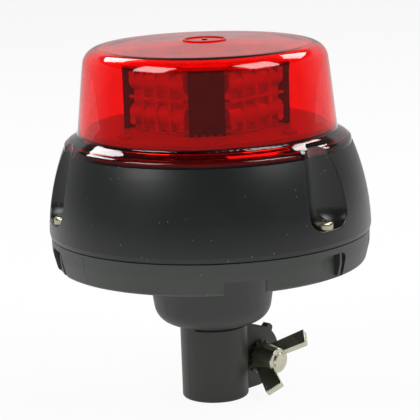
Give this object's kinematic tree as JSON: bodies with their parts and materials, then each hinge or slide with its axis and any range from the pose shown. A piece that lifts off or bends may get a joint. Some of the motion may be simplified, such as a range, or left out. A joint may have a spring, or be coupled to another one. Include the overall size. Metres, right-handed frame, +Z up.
{
  "type": "rotating beacon",
  "caption": "Pole-mounted LED rotating beacon: clear red lens dome over a faceted light engine, black shroud and base, split clamp sleeve with wing nut.",
  "frame": {"origin": "centre of the clamp sleeve's mouth, on the pole's axis", "axes": "+Z up along the pole towards the lens crown, -Y the front of the beacon, +X to its right"},
  "size_m": [0.1484, 0.1484, 0.1684],
  "materials": {
    "lens_red": "clear red polycarbonate",
    "rubber_black": "black rubber",
    "shroud_black": "fine-textured black moulding",
    "base_black": "smooth satin black moulding",
    "sleeve_black": "satin black glass-filled polyamide",
    "zinc_yellow": "yellow-passivated zinc",
    "zinc_bright": "bright zinc plate",
    "spring_steel": "oiled spring steel",
    "screw_steel": "zinc plate",
    "heat_sink_black": "black anodised",
    "board_green": "solder mask",
    "led_yellow": "phosphor and silicone",
    "optic_clear": "clear acrylic",
    "brass": "bare brass",
    "insulator_white": "natural polyamide",
    "capacitor_dark": "printed sleeve, left plain",
    "choke_copper": "enamelled winding",
    "terminal_green": "moulded block",
    "switch_red": "moulded switch",
    "lead_red": "insulation",
    "lead_black": "insulation"
  },
  "bodies": {
    "beacon": {"base_housing": "base_black", "cap_screw_1": "screw_steel", "cap_screw_2": "screw_steel", "cap_screw_3": "screw_steel", "cap_screw_4": "screw_steel", "capacitor_1": "capacitor_dark", "capacitor_2": "capacitor_dark", "choke": "choke_copper", "clamp_bolt": "zinc_bright", "clamp_sleeve": "sleeve_black", "contact_cap": "brass", "contact_insulator": "insulator_white", "contact_spring": "spring_steel", "deck_plate": "heat_sink_black", "deck_screw_1": "screw_steel", "deck_screw_2": "screw_steel", "deck_screw_3": "screw_steel", "deck_screw_4": "screw_steel", "driver_board": "board_green", "driver_screw_1": "screw_steel", "driver_screw_2": "screw_steel", "driver_screw_3": "screw_steel", "driver_screw_4": "screw_steel", "earth_lead": "lead_black", "earth_ring": "brass", "engine_cap": "heat_sink_black", "heat_sink": "heat_sink_black", "housing_seal": "rubber_black", "insulator_screw_1": "screw_steel", "insulator_screw_2": "screw_steel", "led_board_1": "board_green", "led_board_2": "board_green", "led_board_3": "board_green", "led_board_4": "board_green", "led_chips_1": "led_yellow", "led_chips_2": "led_yellow", "led_chips_3": "led_yellow", "led_chips_4": "led_yellow", "lens_dome": "lens_red", "lens_seal": "rubber_black", "live_lead": "lead_red", "mode_switch": "switch_red", "neck_circlip": "spring_steel", "neck_seal": "rubber_black", "optic_block_1": "optic_clear", "optic_block_2": "optic_clear", "optic_block_3": "optic_clear", "optic_block_4": "optic_clear", "shroud": "shroud_black", "shroud_screw_1": "zinc_yellow", "shroud_screw_2": "zinc_yellow", "shroud_screw_3": "zinc_yellow", "terminal_block": "terminal_green"},
    "washer": {"lock_washer": "zinc_bright"},
    "wing_nut": {"wing_nut": "zinc_bright"},
    "contact": {"centre_contact": "brass"}
  },
  "joints": [
    {"name": "nut_travel", "type": "slide", "parent": "beacon", "child": "washer", "axis": [0.7193, -0.6947, 0], "range_m": [0, 0.0051]},
    {"name": "wing_nut_turn", "type": "hinge", "parent": "washer", "child": "wing_nut", "pos_m": [0.0148, 0.01532, 0.0151], "axis": [0.7193, -0.6947, 0], "range_deg": [0, 1440]},
    {"name": "centre_contact_plunge", "type": "slide", "parent": "beacon", "child": "contact", "axis": [0, 0, 1], "range_m": [0, 0.0025], "stiffness_N_per_m": 600, "springref_m": -0.003, "deforming": ["contact_spring"]}
  ],
  "couplings": [
    {"joint": "nut_travel", "follows": "wing_nut_turn", "m_per_rad": 0.00019894}
  ]
}
